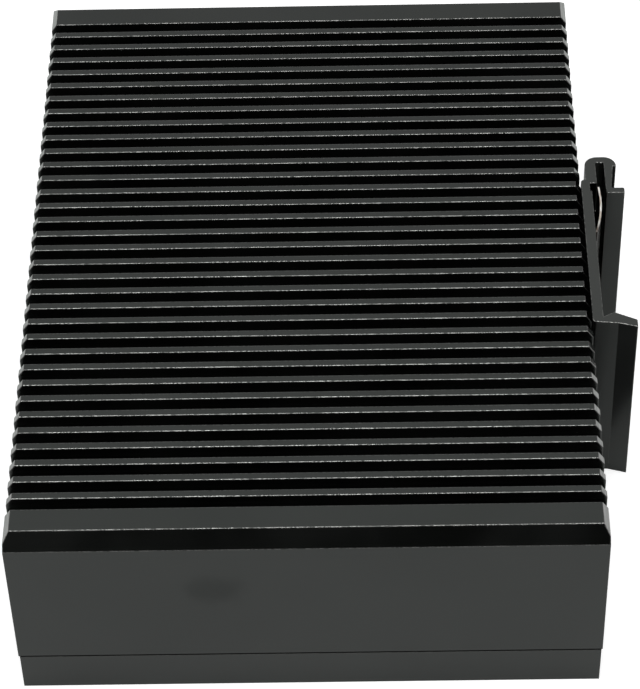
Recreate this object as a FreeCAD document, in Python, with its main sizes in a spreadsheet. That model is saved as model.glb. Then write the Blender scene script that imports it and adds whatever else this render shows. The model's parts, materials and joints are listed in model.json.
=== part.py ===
"""Slim DIN rail Ethernet switch in a finned aluminium extrusion.

Frame: +Z is up with the switch lying on its flat cover, the fins on top. +X points from the port
panel (-X end) to the DIN rail clip (+X end). +Y is the side that faces up once it hangs on a rail.
The origin is the middle of the cover's underside. Lengths are millimetres.
"""
import FreeCAD, Part
import os
import re
import Sketcher

Vector = FreeCAD.Vector
doc = FreeCAD.newDocument("din_rail_switch")
sheet = doc.addObject("Spreadsheet::Sheet", "sizes")

# Driving sizes, one cell of the sheet each
sizes = {
    # Casing: a finned channel closed by a shallow cover
    "body_depth": 92.9,           # port panel to clip, along X
    "body_height": 127.15,        # along Y
    "body_width": 36.2,           # cover face to fin tops, along Z
    "edge_chamfer": 2.38,         # 45 degree chamfer beside the outer lands
    "seam_height": 7.65,          # top of the cover's side walls
    "side_wall": 2.6,
    "skin": 1.3,                  # outer skin left beside a rebate
    "roof_thick": 2,              # metal under the grooves
    "floor_thick": 2,
    "joint_gap": 0.1,             # clearance of parts that slide together
    "seam_gap": 0.2,              # open line between channel and cover
    "tongue_rise": 2,             # inner tongue of the cover above the seam
    "cover_short": 0.2,           # cover ends inside the channel's ends
    "fin_pitch": 3.389,
    "groove_width": 2.15,
    "groove_depth": 4,
    "land_least": 3,              # least flat land outside the last groove
    "bevel_reach": 0.975,         # milled bevel across the fin ends, along X
    "bevel_drop": 1.46,           # and along Z
    "panel_thick": 2,
    "slot_depth": 1.1,            # card guide cut in each side wall

    # Screw channels of both extrusions and the flat head screws in them
    "screw_radius": 1.5,
    "screw_play": 0.1,
    "screw_length": 8,
    "head_radius": 2.75,
    "cross_width": 0.8,           # arms of the cross recess
    "cross_span": 3,
    "cross_depth": 0.9,
    "channel_radius": 2.7,
    "channel_bite": 0.4,          # how far a screw channel sinks into its wall
    "channel_slit": 1.2,
    "upper_channel": 19,          # height of the channels in the side walls

    # Board and what stands on it
    "board_thick": 1.6,
    "chip_thick": 1.2,
    "pad_thick": 1.2,
    "chip_side": 20,
    "pad_side": 18,
    "chip_x": 6,
    "transformer_gap": 3,         # behind the sockets
    "transformer_length": 12.7,
    "transformer_width": 9.5,
    "transformer_height": 5.9,
    "capacitor_radius": 5,
    "capacitor_height": 16,
    "capacitor_x": 22,
    "capacitor_gap": 3,
    "coil_side": 12,
    "coil_height": 7,
    "coil_edge": 2.5,             # corners of the coil's case cut off
    "regulator_length": 5,
    "regulator_width": 4,
    "regulator_height": 1.6,
    "crystal_length": 11.4,
    "crystal_width": 4.7,
    "crystal_height": 3.6,
    "cutout_gap": 0.15,           # round every part that passes through the port panel
    "proud": 0.4,                 # ports and header beyond the panel face

    # Shielded 8-way sockets
    "port_width": 16,
    "port_height": 13.4,
    "port_depth": 21.3,
    "port_gap": 0.5,              # between neighbouring sockets
    "shield_thick": 0.3,
    "socket_width": 11.9,
    "socket_depth": 14,
    "socket_near": 4.2,           # board to the socket's main space
    "socket_far": 11,
    "latch_width": 6.2,
    "latch_rise": 1.4,            # first step of the latch recess
    "tip_width": 3.4,
    "tip_rise": 2.6,              # second step, from the main space
    "mouth_rim": 0.35,            # shield set back round the socket
    "lamp_width": 2.8,
    "lamp_height": 1.4,
    "lamp_inset": 1,              # lamp to the socket's outer corner
    "contact_pitch": 1.02,
    "contact_width": 0.4,
    "contact_thick": 0.3,
    "contact_run": 8,             # along X
    "contact_lift": 2.2,

    # Power header, lamps and earth screw
    "pin_pitch": 3.81,
    "header_ends": 1.9,           # header wider than its pins' pitches
    "header_wall": 0.8,
    "header_height": 9.4,
    "header_depth": 11.5,
    "header_cavity": 8.5,
    "pin_side": 1,
    "pin_recess": 1.6,            # pin tip behind the header's mouth
    "guide_width": 2.4,           # light guides that show through the panel, along Y
    "guide_height": 3.4,
    "holder_width": 4.4,
    "holder_height": 9.6,
    "holder_depth": 6,
    "row_margin": 1,              # the row's ends to the screw channels
    "group_gap": 1,               # sockets, header and lamp holder apart
    "earth_radius": 2,
    "earth_head": 4,
    "earth_head_height": 2.3,
    "earth_length": 6,
    "earth_height": 7.5,          # above the underside
    "washer_radius": 4.5,
    "washer_thick": 0.8,

    # DIN rail clip: one extrusion as wide as the casing, and its leaf spring
    "rail_height": 35,
    "rail_play": 0.45,
    "rail_middle": 1,             # the rail's centre line, along Y
    "clip_plate": 1.75,
    "clip_relief": 0.85,          # upper jaw clear of the casing
    "shoulder_rise": 0.8,         # plate above the foot of the upper jaw
    "rail_stand": 0.93,           # plate to the rail's back
    "rail_slot": 1.47,
    "jaw_top": 1.35,              # metal above the slot
    "jaw_back": 5,                # back leg, from the slot's end
    "jaw_front": 2.05,
    "jaw_ledge": 0.9,             # underside of the jaw's head, from the slot's end
    "jaw_step": 0.6,              # front leg set back under that head
    "jaw_taper": 1.1,             # the same at the lip
    "jaw_drop": 7.45,             # front leg, from the slot's end
    "jaw_radius": 2.1,
    "lip_thick": 1.2,
    "lip_reach": 2.15,
    "hook_neck": 1.77,            # plate to the crest of the lower hook
    "hook_rise": 1,               # crest above the hook's root
    "hook_run": 3.7,              # crest to tip
    "hook_fall": 1.75,
    "hook_thick": 1.57,
    "hook_heel": 1.02,            # root of the hook to the plate's lower end
    "hook_bend": 0.6,             # the bend in its underside, beyond the crest
    "hook_dip": 0.4,              # and below the plate's lower end
    "clip_round": 0.6,
    "tip_round": 0.3,
    "pocket_depth": 0.3,
    "pocket_height": 1.9,
    "spring_thick": 0.3,
    "spring_side": 0.25,          # spring inside the clip's ends
    "spring_bow": 0.44,           # spring beyond the rail's back
    "spring_fold": 0.5,           # inner radius of the folded end
    "spring_tab": 6,              # folded tab inside the spring's ends
    "spring_drop": 10.8,
    "clip_screw_low": 8.5,        # clip screws above the hook's root
    "clip_screw_edge": 8.5,       # from the clip's ends
}

# Sizes worked out from them, as the sheet's formulas
derived = {
    "half_depth": "body_depth / 2",
    "half_height": "body_height / 2",
    "cavity_half": "half_height - side_wall",
    "groove_floor": "body_width - groove_depth",
    "ceiling": "groove_floor - roof_thick",
    "tongue_top": "seam_height + tongue_rise",
    "rebate_half": "half_height - skin",
    "rebate_top": "groove_floor - roof_thick / 2",
    "rebate_low": "floor_thick / 2",
    "panel_half": "rebate_half - joint_gap",
    "panel_top": "rebate_top - joint_gap",
    "panel_low": "rebate_low + joint_gap",
    "panel_back": "half_depth - panel_thick",
    "channel_y": "cavity_half - channel_radius + channel_bite",
    "lower_channel": "floor_thick + channel_radius - channel_bite",
    "groove_span": "body_height - 2 * edge_chamfer - 2 * land_least - groove_width",
    "groove_count": "floor(groove_span / fin_pitch) + 1",
    "fin_row": "(groove_count - 1) * fin_pitch",
    "board_top": "ceiling - pad_thick - chip_thick",
    "board_low": "board_top - board_thick",
    "port_front": "-half_depth - proud",
    "port_low": "board_low - port_height",
    "port_pitch": "port_width + port_gap",
    "header_width": "4 * pin_pitch + header_ends",
    "beside_ports": "header_width + holder_width + 2 * group_gap",
    "row_room": "2 * (channel_y - channel_radius - row_margin)",
    "port_count": "floor((row_room - beside_ports + port_gap) / port_pitch)",
    "row_width": "port_count * port_pitch - port_gap + beside_ports",
    "first_port": "port_width / 2 - row_width / 2",
    "header_y": "row_width / 2 - holder_width - group_gap - header_width / 2",
    "header_low": "board_low - header_height",
    "lamp_y": "row_width / 2 - holder_width / 2",
    "upper_lamp": "board_low - holder_height / 4",
    "lower_lamp": "board_low - 3 * holder_height / 4",
    "socket_floor": "board_low - socket_far",
    "clip_inner": "half_depth + clip_plate",
    "rail_back": "clip_inner + rail_stand",
    "rail_front": "rail_back + rail_slot",
    "slot_end": "rail_middle + (rail_height + rail_play) / 2",
    "hook_crest": "slot_end - rail_height - rail_play",
    "back_leg_end": "slot_end - jaw_back",
    "front_leg_end": "slot_end - jaw_drop",
    "clip_low": "hook_crest - hook_rise - hook_heel",
    "clip_row": "hook_crest - hook_rise + clip_screw_low",
}

aliases = list(sizes) + list(derived)
formulas = ["=" + text for text in derived.values()]
for row, (alias, text) in enumerate(zip(aliases, list(sizes.values()) + formulas), 1):
    sheet.set("A%d" % row, str(text))
    sheet.setAlias("A%d" % row, alias)
doc.recompute()

port_count = round(float(sheet.get("port_count")))
pin_count = 4
nodes = []


def qualify(text):
    """Turn a formula of plain names into one that other objects of the document can read."""
    return re.sub(r"\b[a-z][a-z_]+\b", lambda m: "sizes." + m[0] if m[0] in aliases else m[0], text)


def value(text):
    """The number that a formula of plain names gives now."""
    return float(sheet.evalExpression(text))


def bind(thing, **formulas):
    """Tie properties to formulas; a double underscore stands for the dot of a sub-property."""
    for name, text in formulas.items():
        thing.setExpression(name.replace("__", "."), qualify(text))


def place(thing, x="0", y="0", z="0"):
    bind(thing, Placement__Base__x=x, Placement__Base__y=y, Placement__Base__z=z)
    return thing


def node(thing, label):
    """Name a finished sub-part: its label is its file's name."""
    thing.Label = label
    nodes.append(thing)
    return thing


# ---- sketches and features of a body ----

def sketch_on(body, plane, offset="0"):
    sketch = body.newObject("Sketcher::SketchObject", body.Name + "_sketch")
    base = [item for item in body.Origin.OriginFeatures if item.Role == plane][0]
    sketch.AttachmentSupport = [(base, "")]
    sketch.MapMode = "FlatFace"
    bind(sketch, AttachmentOffset__Base__z=offset)
    return sketch


def outline(sketch, corners):
    """A closed outline whose corners are held by pairs of formulas."""
    first = sketch.GeometryCount
    points = [Vector(value(u), value(v), 0) for u, v in corners]
    count = len(points)
    for i in range(count):
        sketch.addGeometry(Part.LineSegment(points[i], points[(i + 1) % count]))
    for i in range(count):
        following = first + (i + 1) % count
        sketch.addConstraint(Sketcher.Constraint("Coincident", first + i, 2, following, 1))
    for i, (u, v) in enumerate(corners):
        across = sketch.addConstraint(Sketcher.Constraint("DistanceX", -1, 1, first + i, 1, points[i].x))
        along = sketch.addConstraint(Sketcher.Constraint("DistanceY", -1, 1, first + i, 1, points[i].y))
        sketch.setExpression("Constraints[%d]" % across, qualify(u))
        sketch.setExpression("Constraints[%d]" % along, qualify(v))


def rectangle(sketch, u0, u1, v0, v1):
    outline(sketch, [(u0, v0), (u1, v0), (u1, v1), (u0, v1)])


def circle(sketch, u, v, radius):
    here = Vector(value(u), value(v), 0)
    index = sketch.addGeometry(Part.Circle(here, Vector(0, 0, 1), value(radius)))
    across = sketch.addConstraint(Sketcher.Constraint("DistanceX", -1, 1, index, 3, here.x))
    along = sketch.addConstraint(Sketcher.Constraint("DistanceY", -1, 1, index, 3, here.y))
    ring = sketch.addConstraint(Sketcher.Constraint("Radius", index, value(radius)))
    sketch.setExpression("Constraints[%d]" % across, qualify(u))
    sketch.setExpression("Constraints[%d]" % along, qualify(v))
    sketch.setExpression("Constraints[%d]" % ring, qualify(radius))


def mirrored(half):
    """A half outline with u above zero, closed by its mirror image."""
    return half + [("-(%s)" % u, v) for u, v in reversed(half)]


def new_body(name):
    return doc.addObject("PartDesign::Body", name)


def pad(body, sketch, length, both_ways=False, backwards=False):
    feature = body.newObject("PartDesign::Pad", body.Name + "_pad")
    feature.Profile = sketch
    feature.Midplane = both_ways
    feature.Reversed = backwards
    bind(feature, Length=length)
    return feature


def pocket(body, sketch, length, both_ways=False, towards_normal=False):
    """Cut against the sketch's normal, or along it, or both ways."""
    feature = body.newObject("PartDesign::Pocket", body.Name + "_pocket")
    feature.Profile = sketch
    feature.Midplane = both_ways
    feature.Reversed = towards_normal
    bind(feature, Length=length)
    return feature


def round_upright_edges(body, feature, radius, places):
    """Fillet the edges along Z that stand at the given places in plan."""
    doc.recompute()
    spots = [(value(x), value(y)) for x, y in places]
    names = []
    for number, edge in enumerate(feature.Shape.Edges, 1):
        start, end = edge.Vertexes[0].Point, edge.Vertexes[-1].Point
        upright = abs(start.x - end.x) + abs(start.y - end.y) < 1e-6
        if upright and any(abs(start.x - x) + abs(start.y - y) < 1e-3 for x, y in spots):
            names.append("Edge%d" % number)
    fillet = body.newObject("PartDesign::Fillet", body.Name + "_fillet")
    fillet.Base = (feature, names)
    bind(fillet, Radius=radius)
    return fillet


# ---- primitives ----

def box(name, x0, x1, y0, y1, z0, z1):
    """A block between three pairs of formulas."""
    block = doc.addObject("Part::Box", name)
    bind(block, Length="(%s) - (%s)" % (x1, x0), Width="(%s) - (%s)" % (y1, y0))
    bind(block, Height="(%s) - (%s)" % (z1, z0))
    return place(block, x0, y0, z0)


def post(name, radius, x, y, z0, z1):
    """A round bar along Z."""
    bar = doc.addObject("Part::Cylinder", name)
    bind(bar, Radius=radius, Height="(%s) - (%s)" % (z1, z0))
    return place(bar, x, y, z0)


def fuse(name, pieces):
    result = doc.addObject("Part::MultiFuse", name)
    result.Shapes = pieces
    return result


def cut(name, base, tools):
    result = doc.addObject("Part::Cut", name)
    result.Base = base
    result.Tool = tools[0] if len(tools) == 1 else fuse(name + "_tools", tools)
    return result


# ---- casing ----

def add_channels(body, height, length):
    """Two C-shaped screw channels along X on the side walls, open towards the middle."""
    bosses = sketch_on(body, "YZ_Plane")
    for side in ("-", ""):
        circle(bosses, side + "channel_y", height, "channel_radius")
    pad(body, bosses, length, both_ways=True)
    bores = sketch_on(body, "YZ_Plane")
    for side in ("-", ""):
        circle(bores, side + "channel_y", height, "screw_radius")
    pocket(body, bores, "body_depth", both_ways=True)
    slits = sketch_on(body, "YZ_Plane")
    for side in ("-", ""):
        inner = "%s(channel_y - channel_radius - joint_gap)" % side
        rectangle(slits, inner, side + "channel_y",
                  "%s - channel_slit / 2" % height, "%s + channel_slit / 2" % height)
    pocket(body, slits, "body_depth", both_ways=True)


def add_panel_rebates(body, low, high):
    """A recess at each end, as deep as the panel that sits in it."""
    for end in (-1, 1):
        recess = sketch_on(body, "YZ_Plane", "%d * panel_back" % end)
        rectangle(recess, "-rebate_half", "rebate_half", low, high)
        pocket(body, recess, "2 * panel_thick", towards_normal=end > 0)


def finned_housing():
    """Extruded channel: roof with fins along X, two side walls with card guides and rebates."""
    body = new_body("finned_housing")
    profile = sketch_on(body, "YZ_Plane")
    outline(profile, mirrored([
        ("half_height - edge_chamfer", "body_width"),
        ("half_height", "body_width - edge_chamfer"),
        ("half_height", "seam_height + seam_gap"),
        ("rebate_half", "seam_height + seam_gap"),
        ("rebate_half", "tongue_top"),
        ("cavity_half", "tongue_top"),
        ("cavity_half", "board_low"),
        ("cavity_half + slot_depth", "board_low"),
        ("cavity_half + slot_depth", "board_top + joint_gap"),
        ("cavity_half", "board_top + joint_gap"),
        ("cavity_half", "ceiling"),
    ]))
    pad(body, profile, "body_depth", both_ways=True)
    add_channels(body, "upper_channel", "2 * panel_back")
    add_panel_rebates(body, "0", "rebate_top")
    bevels = sketch_on(body, "XZ_Plane")
    for side in ("-", ""):
        outline(bevels, [
            ("%s(half_depth - bevel_reach)" % side, "body_width"),
            (side + "(half_depth + bevel_reach)", "body_width"),
            (side + "(half_depth + bevel_reach)", "body_width - bevel_drop"),
            (side + "half_depth", "body_width - bevel_drop"),
        ])
    pocket(body, bevels, "body_height", both_ways=True)
    groove = sketch_on(body, "YZ_Plane")
    rectangle(groove, "-fin_row / 2 - groove_width / 2", "-fin_row / 2 + groove_width / 2",
              "groove_floor", "body_width + groove_depth")
    first_groove = pocket(body, groove, "body_depth", both_ways=True)
    grooves = body.newObject("PartDesign::LinearPattern", "grooves")
    grooves.Originals = [first_groove]
    grooves.Direction = (groove, ["H_Axis"])
    bind(grooves, Length="fin_row", Occurrences="groove_count")
    body.Tip = grooves
    return node(body, "finned_housing")


def base_cover():
    """Shallow extruded channel that closes the housing; its tongues stand inside the side walls."""
    body = new_body("base_cover")
    profile = sketch_on(body, "YZ_Plane")
    outline(profile, mirrored([
        ("half_height", "0"),
        ("half_height", "seam_height"),
        ("rebate_half - joint_gap", "seam_height"),
        ("rebate_half - joint_gap", "tongue_top"),
        ("cavity_half", "tongue_top"),
        ("cavity_half", "floor_thick"),
    ]))
    pad(body, profile, "body_depth - 2 * cover_short", both_ways=True)
    add_channels(body, "lower_channel", "2 * panel_back")
    add_panel_rebates(body, "rebate_low", "body_width")
    return node(body, "base_cover")


def end_panel(name, end, windows):
    """Flat plate set flush in one end of the casing, with countersunk holes for its four screws."""
    body = new_body(name)
    plate = sketch_on(body, "YZ_Plane", "%d * half_depth" % end)
    rectangle(plate, "-panel_half", "panel_half", "panel_low", "panel_top")
    windows(plate)
    pad(body, plate, "panel_thick", backwards=end > 0)
    doc.recompute()
    marks = sketch_on(body, "YZ_Plane", "%d * half_depth" % end)
    for side in ("-", ""):
        for height in ("upper_channel", "lower_channel"):
            circle(marks, side + "channel_y", height, "screw_radius + screw_play")
    holes = body.newObject("PartDesign::Hole", name + "_holes")
    holes.Profile = marks
    holes.Reversed = end < 0
    holes.DepthType = "ThroughAll"
    holes.HoleCutType = "Countersink"
    holes.HoleCutCustomValues = True
    holes.HoleCutCountersinkAngle = 90
    bind(holes, Diameter="2 * (screw_radius + screw_play)", HoleCutDiameter="2 * head_radius")
    return node(body, name)


def window(plate, middle, width, low, high):
    """A cut-out with the same gap all round what passes through it."""
    half = "(%s / 2 + cutout_gap)" % width
    rectangle(plate, middle + " - " + half, middle + " + " + half,
              low + " - cutout_gap", high + " + cutout_gap")


def port_windows(plate):
    """Cut-outs for the sockets, the power header, two light guides and the earth screw."""
    for n in range(port_count):
        window(plate, "first_port + %d * port_pitch" % n, "port_width", "port_low", "board_low")
    window(plate, "header_y", "header_width", "header_low", "board_low")
    for height in ("upper_lamp", "lower_lamp"):
        window(plate, "lamp_y", "guide_width", height + " - guide_height / 2", height + " + guide_height / 2")
    circle(plate, "header_y", "earth_height", "earth_radius")


def clip_holes():
    """Places of the two screws that hold the clip, as (y, z) formulas."""
    return [("clip_row", z) for z in ("clip_screw_edge", "body_width - clip_screw_edge")]


def clip_windows(plate):
    """Tapped holes for the clip's screws."""
    for y, z in clip_holes():
        circle(plate, y, z, "screw_radius")


# ---- screws ----

def flat_head_screw(name, length):
    """Countersunk screw along +X from its flat head at the origin, with a cross recess."""
    body = new_body(name)
    section = sketch_on(body, "XZ_Plane")
    outline(section, [
        ("0", "0"),
        ("0", "head_radius"),
        ("head_radius - screw_radius", "screw_radius"),
        (length, "screw_radius"),
        (length, "0"),
    ])
    turned = body.newObject("PartDesign::Revolution", name + "_turned")
    turned.Profile = section
    turned.ReferenceAxis = (section, ["H_Axis"])
    turned.Angle = 360
    for across, along in (("cross_span", "cross_width"), ("cross_width", "cross_span")):
        recess = sketch_on(body, "YZ_Plane")
        rectangle(recess, "-%s / 2" % across, "%s / 2" % across, "-%s / 2" % along, "%s / 2" % along)
        pocket(body, recess, "cross_depth", towards_normal=True)
    return body


def copies(label, screw, spots, turn=0):
    """One node of separate solids: the same screw at each spot, turned about Z."""
    doc.recompute()
    group = doc.addObject("Part::Feature", label)
    solids = []
    facing = FreeCAD.Rotation(Vector(0, 0, 1), turn)
    for x, y, z in spots:
        here = FreeCAD.Placement(Vector(value(x), value(y), value(z)), facing)
        solids.append(screw.Shape.transformed(here.toMatrix()))
    group.Shape = Part.makeCompound(solids)
    return node(group, label)


# ---- clip ----

def din_clip():
    """Extruded clip: plate on the rear panel, upper C-shaped jaw for the rail, lower hook."""
    body = new_body("din_clip")
    crest = "clip_inner + hook_neck"
    tip = "clip_inner + hook_neck + hook_run"
    jaw_x = "rail_front + jaw_front"
    foot = "back_leg_end + shoulder_rise"
    profile = sketch_on(body, "XY_Plane")
    outline(profile, [
        ("half_depth", "clip_low"),
        (crest + " + hook_bend", "clip_low - hook_dip"),
        (tip, "hook_crest - hook_fall - hook_thick"),
        (tip, "hook_crest - hook_fall"),
        (crest, "hook_crest"),
        ("clip_inner", "hook_crest - hook_rise"),
        ("clip_inner", "back_leg_end - pocket_height"),
        ("clip_inner - pocket_depth", "back_leg_end - pocket_height"),
        ("clip_inner - pocket_depth", "back_leg_end"),
        ("rail_back", "back_leg_end"),
        ("rail_back", "slot_end"),
        ("rail_front", "slot_end"),
        ("rail_front", "front_leg_end + lip_thick"),
        ("rail_front + joint_gap", "front_leg_end"),
        (jaw_x + " - jaw_taper + lip_reach", "front_leg_end"),
        (jaw_x + " - jaw_taper + lip_reach", "front_leg_end + lip_thick"),
        (jaw_x + " - jaw_taper", "front_leg_end + lip_thick"),
        (jaw_x + " - jaw_step", "slot_end - jaw_ledge"),
        (jaw_x, "slot_end - jaw_ledge"),
        (jaw_x, "slot_end + jaw_top"),
        ("half_depth + clip_relief", "slot_end + jaw_top"),
        ("half_depth + clip_relief", foot),
        ("half_depth", foot),
    ])
    plain = pad(body, profile, "body_width")
    domed = round_upright_edges(body, plain, "jaw_radius", [
        (jaw_x, "slot_end + jaw_top"), ("half_depth + clip_relief", "slot_end + jaw_top")])
    eased = round_upright_edges(body, domed, "clip_round", [("half_depth", "clip_low"), ("half_depth", foot)])
    body.Tip = round_upright_edges(body, eased, "tip_round", [
        (tip, "hook_crest - hook_fall"), (jaw_x + " - jaw_taper + lip_reach", "front_leg_end + lip_thick")])
    doc.recompute()
    marks = sketch_on(body, "YZ_Plane", "clip_inner")
    for y, z in clip_holes():
        circle(marks, y, z, "screw_radius + screw_play")
    holes = body.newObject("PartDesign::Hole", "clip_screw_holes")
    holes.Profile = marks
    holes.DepthType = "Dimension"
    holes.HoleCutType = "Countersink"
    holes.HoleCutCustomValues = True
    holes.HoleCutCountersinkAngle = 90
    bind(holes, Diameter="2 * (screw_radius + screw_play)", HoleCutDiameter="2 * head_radius")
    bind(holes, Depth="clip_plate")
    return node(body, "din_clip")


def leaf_spring():
    """Bent steel strip: its folded end hooks in the clip's pocket and its bow presses on the rail."""
    thick = value("spring_thick")
    fold = value("spring_fold")
    left = value("clip_inner - pocket_depth") + thick
    tail = value("back_leg_end - pocket_height + joint_gap")
    top = value("back_leg_end") - fold - thick
    right = left + 2 * fold
    middle = top - value("spring_drop") / 2
    bottom = top - value("spring_drop")
    bow = Vector(value("rail_back + spring_bow") - thick, middle, 0)
    leaf = Part.Wire([
        Part.Arc(Vector(right, top, 0), bow, Vector(value("clip_inner"), bottom, 0)).toShape(),
    ])
    tab = Part.Wire([
        Part.LineSegment(Vector(left, tail, 0), Vector(left, top, 0)).toShape(),
        Part.Arc(Vector(left, top, 0), Vector(left + fold, top + fold, 0), Vector(right, top, 0)).toShape(),
    ])
    strips = []
    for inside, side in ((leaf, value("spring_side")), (tab, value("spring_side + spring_tab"))):
        section = inside.makeOffset2D(-thick, 0, True, True)
        section.translate(Vector(0, 0, side))
        strips.append(section.extrude(Vector(0, 0, value("body_width") - 2 * side)))
    spring = doc.addObject("Part::Feature", "leaf_spring")
    spring.Shape = strips[0].fuse(strips[1]).removeSplitter()
    return node(spring, "clip_leaf_spring")


# ---- board ----

def circuit_board():
    """Glass-epoxy board held in the card guides between the two end panels."""
    board = box("circuit_board", "-panel_back + joint_gap", "panel_back - joint_gap",
                "-cavity_half - slot_depth + joint_gap", "cavity_half + slot_depth - joint_gap",
                "board_low", "board_top")
    return node(board, "circuit_board")


def port(n):
    """One shielded socket: sheet metal shield, moulded body, sprung contacts and two lamps."""
    middle = "(first_port + %d * port_pitch)" % n
    name = "port_%d_" % (n + 1)
    left = middle + " - port_width / 2"
    right = middle + " + port_width / 2"
    back = "port_front + port_depth"
    mouth = "socket_width / 2 + mouth_rim"
    lamp_out = "(socket_width / 2 + lamp_inset - lamp_width / 2)"
    lamp_spots = [middle + " %s " % side + lamp_out for side in "-+"]
    lamp_z = "(port_low + (socket_floor - port_low) / 2)"

    shell = box(name + "shell", "port_front", back, left, right, "port_low", "board_low")
    space = box(name + "space", "port_front + shield_thick", back + " - shield_thick",
                left + " + shield_thick", right + " - shield_thick",
                "port_low + shield_thick", "board_low + 1")
    opening = box(name + "opening", "port_front - 1", "port_front + 1",
                  middle + " - " + mouth, middle + " + " + mouth,
                  "socket_floor - mouth_rim", "board_low - socket_near + tip_rise + mouth_rim")
    lamp_holes = []
    for i, y in enumerate(lamp_spots):
        lamp_holes.append(box(name + "lamp_hole_%d" % i, "port_front - 1", "port_front + 1",
                              y + " - lamp_width / 2", y + " + lamp_width / 2",
                              lamp_z + " - lamp_height / 2", lamp_z + " + lamp_height / 2"))
    node(cut(name + "shield", shell, [space, opening] + lamp_holes), name + "shield")

    block = box(name + "block", "port_front + shield_thick", back + " - shield_thick",
                left + " + shield_thick", right + " - shield_thick", "port_low + shield_thick", "board_low")
    main = box(name + "main", "port_front - 1", "port_front + socket_depth",
               middle + " - socket_width / 2", middle + " + socket_width / 2",
               "socket_floor", "board_low - socket_near")
    latch = box(name + "latch", "port_front - 1", "port_front + socket_depth",
                middle + " - latch_width / 2", middle + " + latch_width / 2",
                "socket_floor", "board_low - socket_near + latch_rise")
    tip = box(name + "tip", "port_front - 1", "port_front + socket_depth",
              middle + " - tip_width / 2", middle + " + tip_width / 2",
              "socket_floor", "board_low - socket_near + tip_rise")
    lamp_seats = []
    for i, y in enumerate(lamp_spots):
        lamp_seats.append(box(name + "lamp_seat_%d" % i, "port_front - 1", "port_front + socket_depth / 2",
                              y + " - lamp_width / 2", y + " + lamp_width / 2",
                              lamp_z + " - lamp_height / 2", lamp_z + " + lamp_height / 2"))
    node(cut(name + "body", block, [main, latch, tip] + lamp_seats), name + "body")

    lamps = []
    for i, y in enumerate(lamp_spots):
        lamps.append(box(name + "lamp_%d" % i, "port_front", "port_front + socket_depth / 2",
                         y + " - lamp_width / 2", y + " + lamp_width / 2",
                         lamp_z + " - lamp_height / 2", lamp_z + " + lamp_height / 2"))
    node(fuse(name + "lamps", lamps), name + "lamps")
    node(contacts(name + "contacts", value(middle)), name + "contacts")


def contacts(name, middle):
    """Eight sprung strips that rise from the socket's floor towards its back."""
    end = value("port_front + socket_depth - contact_thick")
    start = end - value("contact_run")
    low = value("socket_floor")
    lift = value("contact_lift")
    thick = value("contact_thick")
    side = [Vector(start, 0, low), Vector(start + 2 * thick, 0, low),
            Vector(end, 0, low + lift), Vector(end - thick, 0, low + lift + thick)]
    strip = Part.Face(Part.makePolygon(side + side[:1])).extrude(Vector(0, value("contact_width"), 0))
    strips = []
    for i in range(8):
        y = middle + (i - 3.5) * value("contact_pitch") - value("contact_width") / 2
        strips.append(strip.translated(Vector(0, y, 0)))
    group = doc.addObject("Part::Feature", name)
    group.Shape = Part.makeCompound(strips)
    return group


def power_header():
    """Four-way board header: an open moulded shroud round four bent pins."""
    left = "header_y - header_width / 2"
    right = "header_y + header_width / 2"
    shroud = box("header_block", "port_front", "port_front + header_depth", left, right,
                 "header_low", "board_low")
    cavity = box("header_space", "port_front - 1", "port_front + header_cavity",
                 left + " + header_wall", right + " - header_wall",
                 "header_low + header_wall", "board_low - header_wall")
    bores = []
    for n in range(pin_count):
        y = "header_y + (%g) * pin_pitch" % (n - (pin_count - 1) / 2)
        middle = "(header_low + board_low) / 2"
        pin_low = middle + " - pin_side / 2"
        pin_high = middle + " + pin_side / 2"
        y0 = y + " - pin_side / 2"
        y1 = y + " + pin_side / 2"
        tail = "port_front + header_depth + pin_side"
        bores.append(box("pin_bore_%d" % n, "port_front", tail, y0, y1, pin_low, pin_high))
        blade = box("pin_blade_%d" % n, "port_front + pin_recess", tail, y0, y1, pin_low, pin_high)
        leg = box("pin_leg_%d" % n, "port_front + header_depth", tail, y0, y1, pin_low, "board_low")
        node(fuse("power_pin_%d" % (n + 1), [blade, leg]), "power_pin_%d" % (n + 1))
    return node(cut("power_header", shroud, [cavity] + bores), "power_header")


def lamp_stack():
    """Two light guides, one above the other, moulded square and set on a holder at the board's edge."""
    front = "-panel_back + joint_gap"
    holder = box("holder_block", front, front + " + holder_depth",
                 "lamp_y - holder_width / 2", "lamp_y + holder_width / 2",
                 "board_low - holder_height", "board_low")
    node(holder, "lamp_holder")
    for name, height in (("power_lamp", "upper_lamp"), ("fault_lamp", "lower_lamp")):
        guide = box(name, "port_front", front, "lamp_y - guide_width / 2", "lamp_y + guide_width / 2",
                    height + " - guide_height / 2", height + " + guide_height / 2")
        node(guide, name)


def transformer(n):
    """Moulded line transformer behind one socket."""
    middle = "(first_port + %d * port_pitch)" % n
    front = "port_front + port_depth + transformer_gap"
    block = box("transformer_%d" % (n + 1), front, front + " + transformer_length",
                middle + " - transformer_width / 2", middle + " + transformer_width / 2",
                "board_low - transformer_height", "board_low")
    return node(block, "transformer_%d" % (n + 1))


def capacitor(n):
    """Electrolytic can standing on the board."""
    y = "header_y - %d * (2 * capacitor_radius + capacitor_gap)" % n
    can = post("capacitor_%d" % (n + 1), "capacitor_radius", "capacitor_x", y,
               "board_low - capacitor_height", "board_low")
    return node(can, "capacitor_%d" % (n + 1))


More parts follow.
